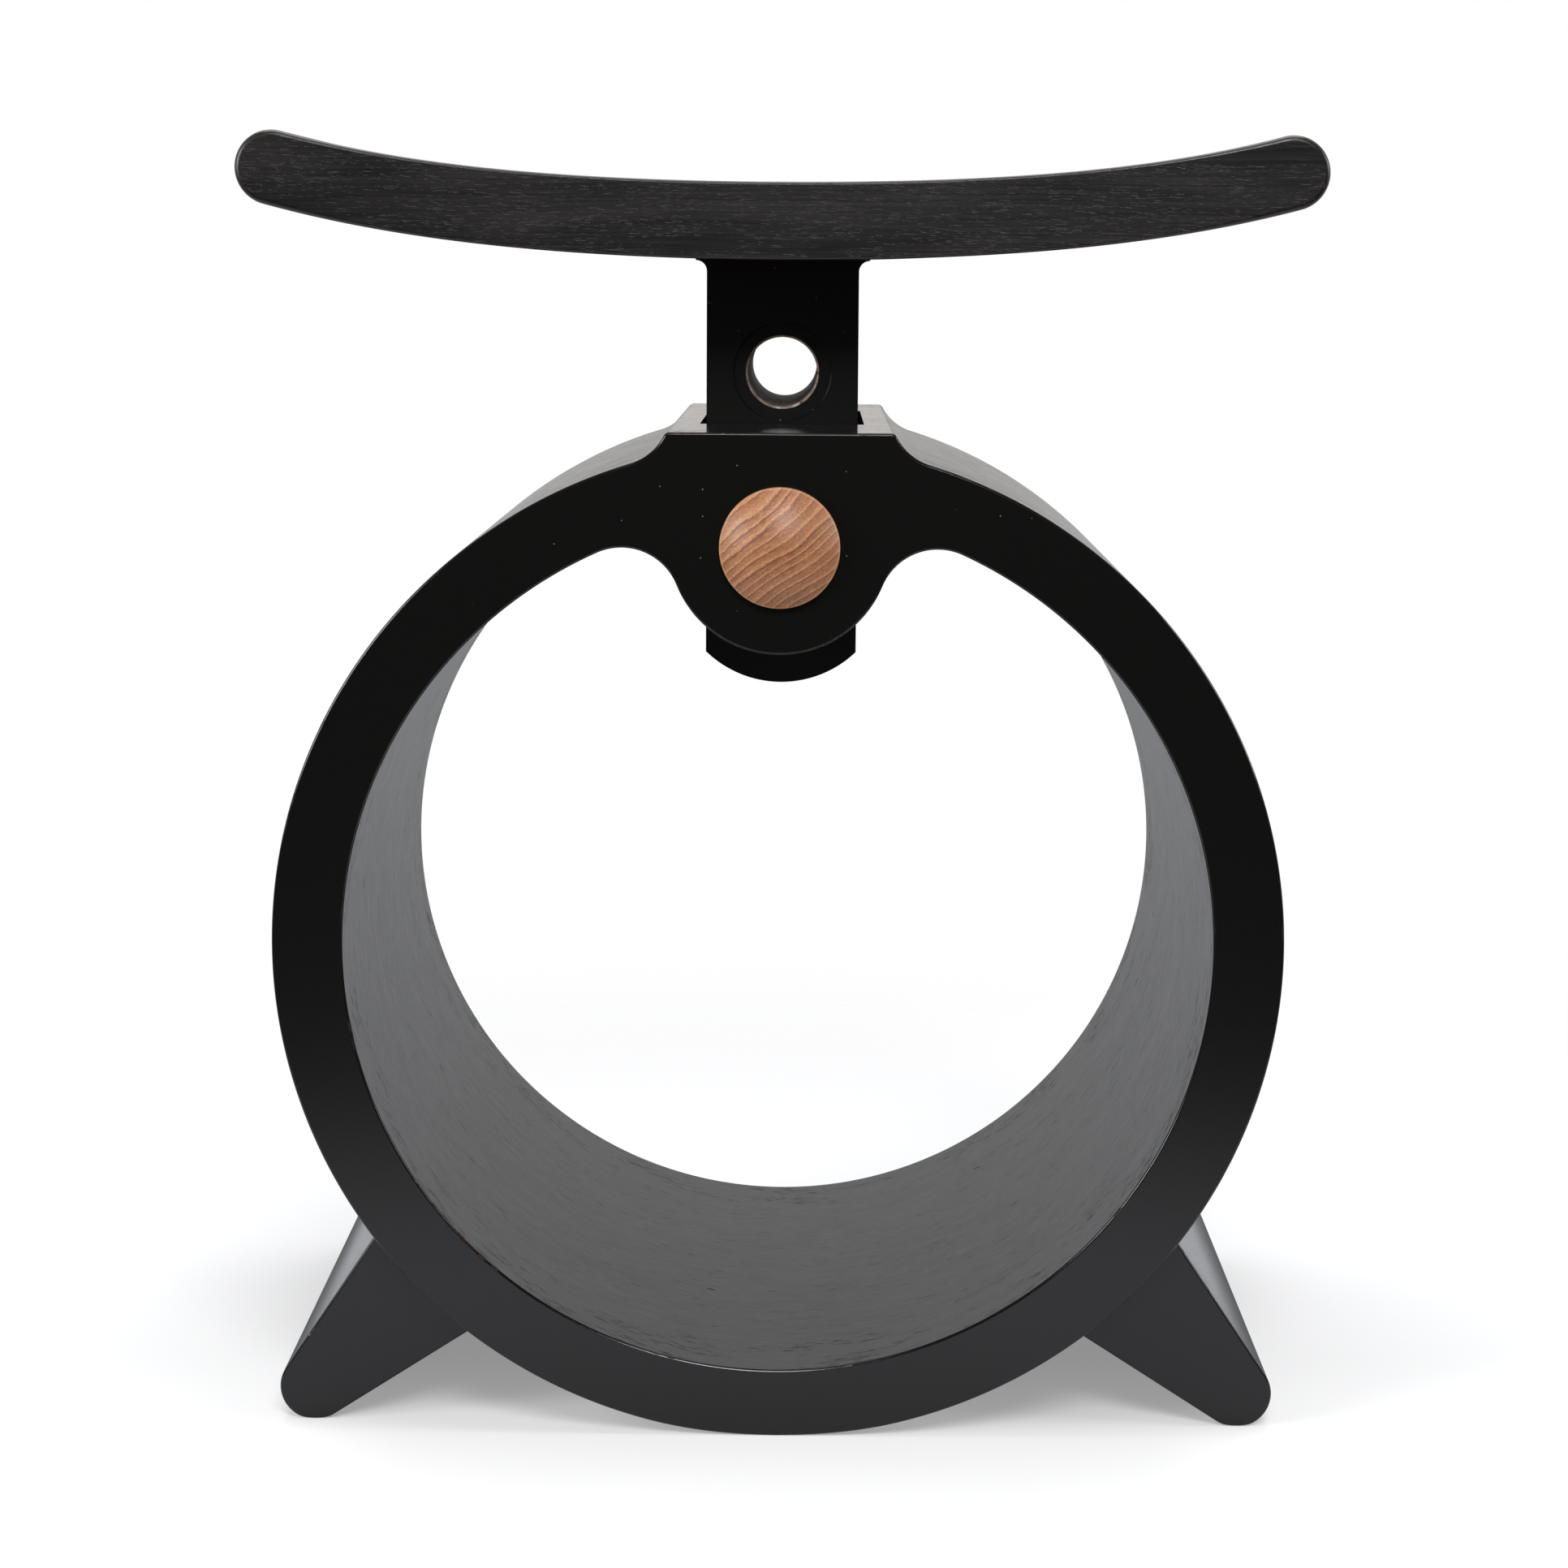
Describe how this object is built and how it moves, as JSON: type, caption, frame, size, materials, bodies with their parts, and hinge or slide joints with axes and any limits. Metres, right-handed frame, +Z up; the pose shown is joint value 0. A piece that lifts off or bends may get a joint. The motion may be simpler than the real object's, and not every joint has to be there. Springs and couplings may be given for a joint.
{
  "type": "stool",
  "caption": "Free-standing wooden stool: a dished seat board on a post that drops through the head of a standing hoop, held at height by a turned peg, with wedge feet beside the hoop.",
  "frame": {"origin": "on the floor, at the middle of the narrow flat that the hoop stands on", "axes": "+Z up, -Y towards the front, where the head of the peg is, and +X to the right as seen from the front"},
  "size_m": [0.3866, 0.2695, 0.4771],
  "materials": {
    "ebonised_wood": "black stained open-grain hardwood under a thin satin lacquer",
    "peg_wood": "oiled brown hardwood with slanting grain",
    "dowel_wood": "plain pale hardwood, hidden inside the joints"
  },
  "bodies": {
    "stool": {"seat_board": "ebonised_wood", "post": "ebonised_wood", "hoop": "ebonised_wood", "head_front_cheek": "ebonised_wood", "head_rear_cheek": "ebonised_wood", "head_left_block": "ebonised_wood", "head_right_block": "ebonised_wood", "left_foot": "ebonised_wood", "right_foot": "ebonised_wood", "left_front_tenon": "dowel_wood", "left_middle_tenon": "dowel_wood", "left_rear_tenon": "dowel_wood", "right_front_tenon": "dowel_wood", "right_middle_tenon": "dowel_wood", "right_rear_tenon": "dowel_wood", "left_foot_dowel_front": "dowel_wood", "left_foot_dowel_middle": "dowel_wood", "left_foot_dowel_rear": "dowel_wood", "right_foot_dowel_front": "dowel_wood", "right_foot_dowel_middle": "dowel_wood", "right_foot_dowel_rear": "dowel_wood", "seat_dowel_front_left": "dowel_wood", "seat_dowel_front_right": "dowel_wood", "seat_dowel_rear_left": "dowel_wood", "seat_dowel_rear_right": "dowel_wood"},
    "peg": {"height_peg": "peg_wood"}
  },
  "joints": [
    {"name": "peg_pull", "type": "slide", "parent": "stool", "child": "peg", "axis": [0, -1, 0], "range_m": [0, 0.265]}
  ]
}
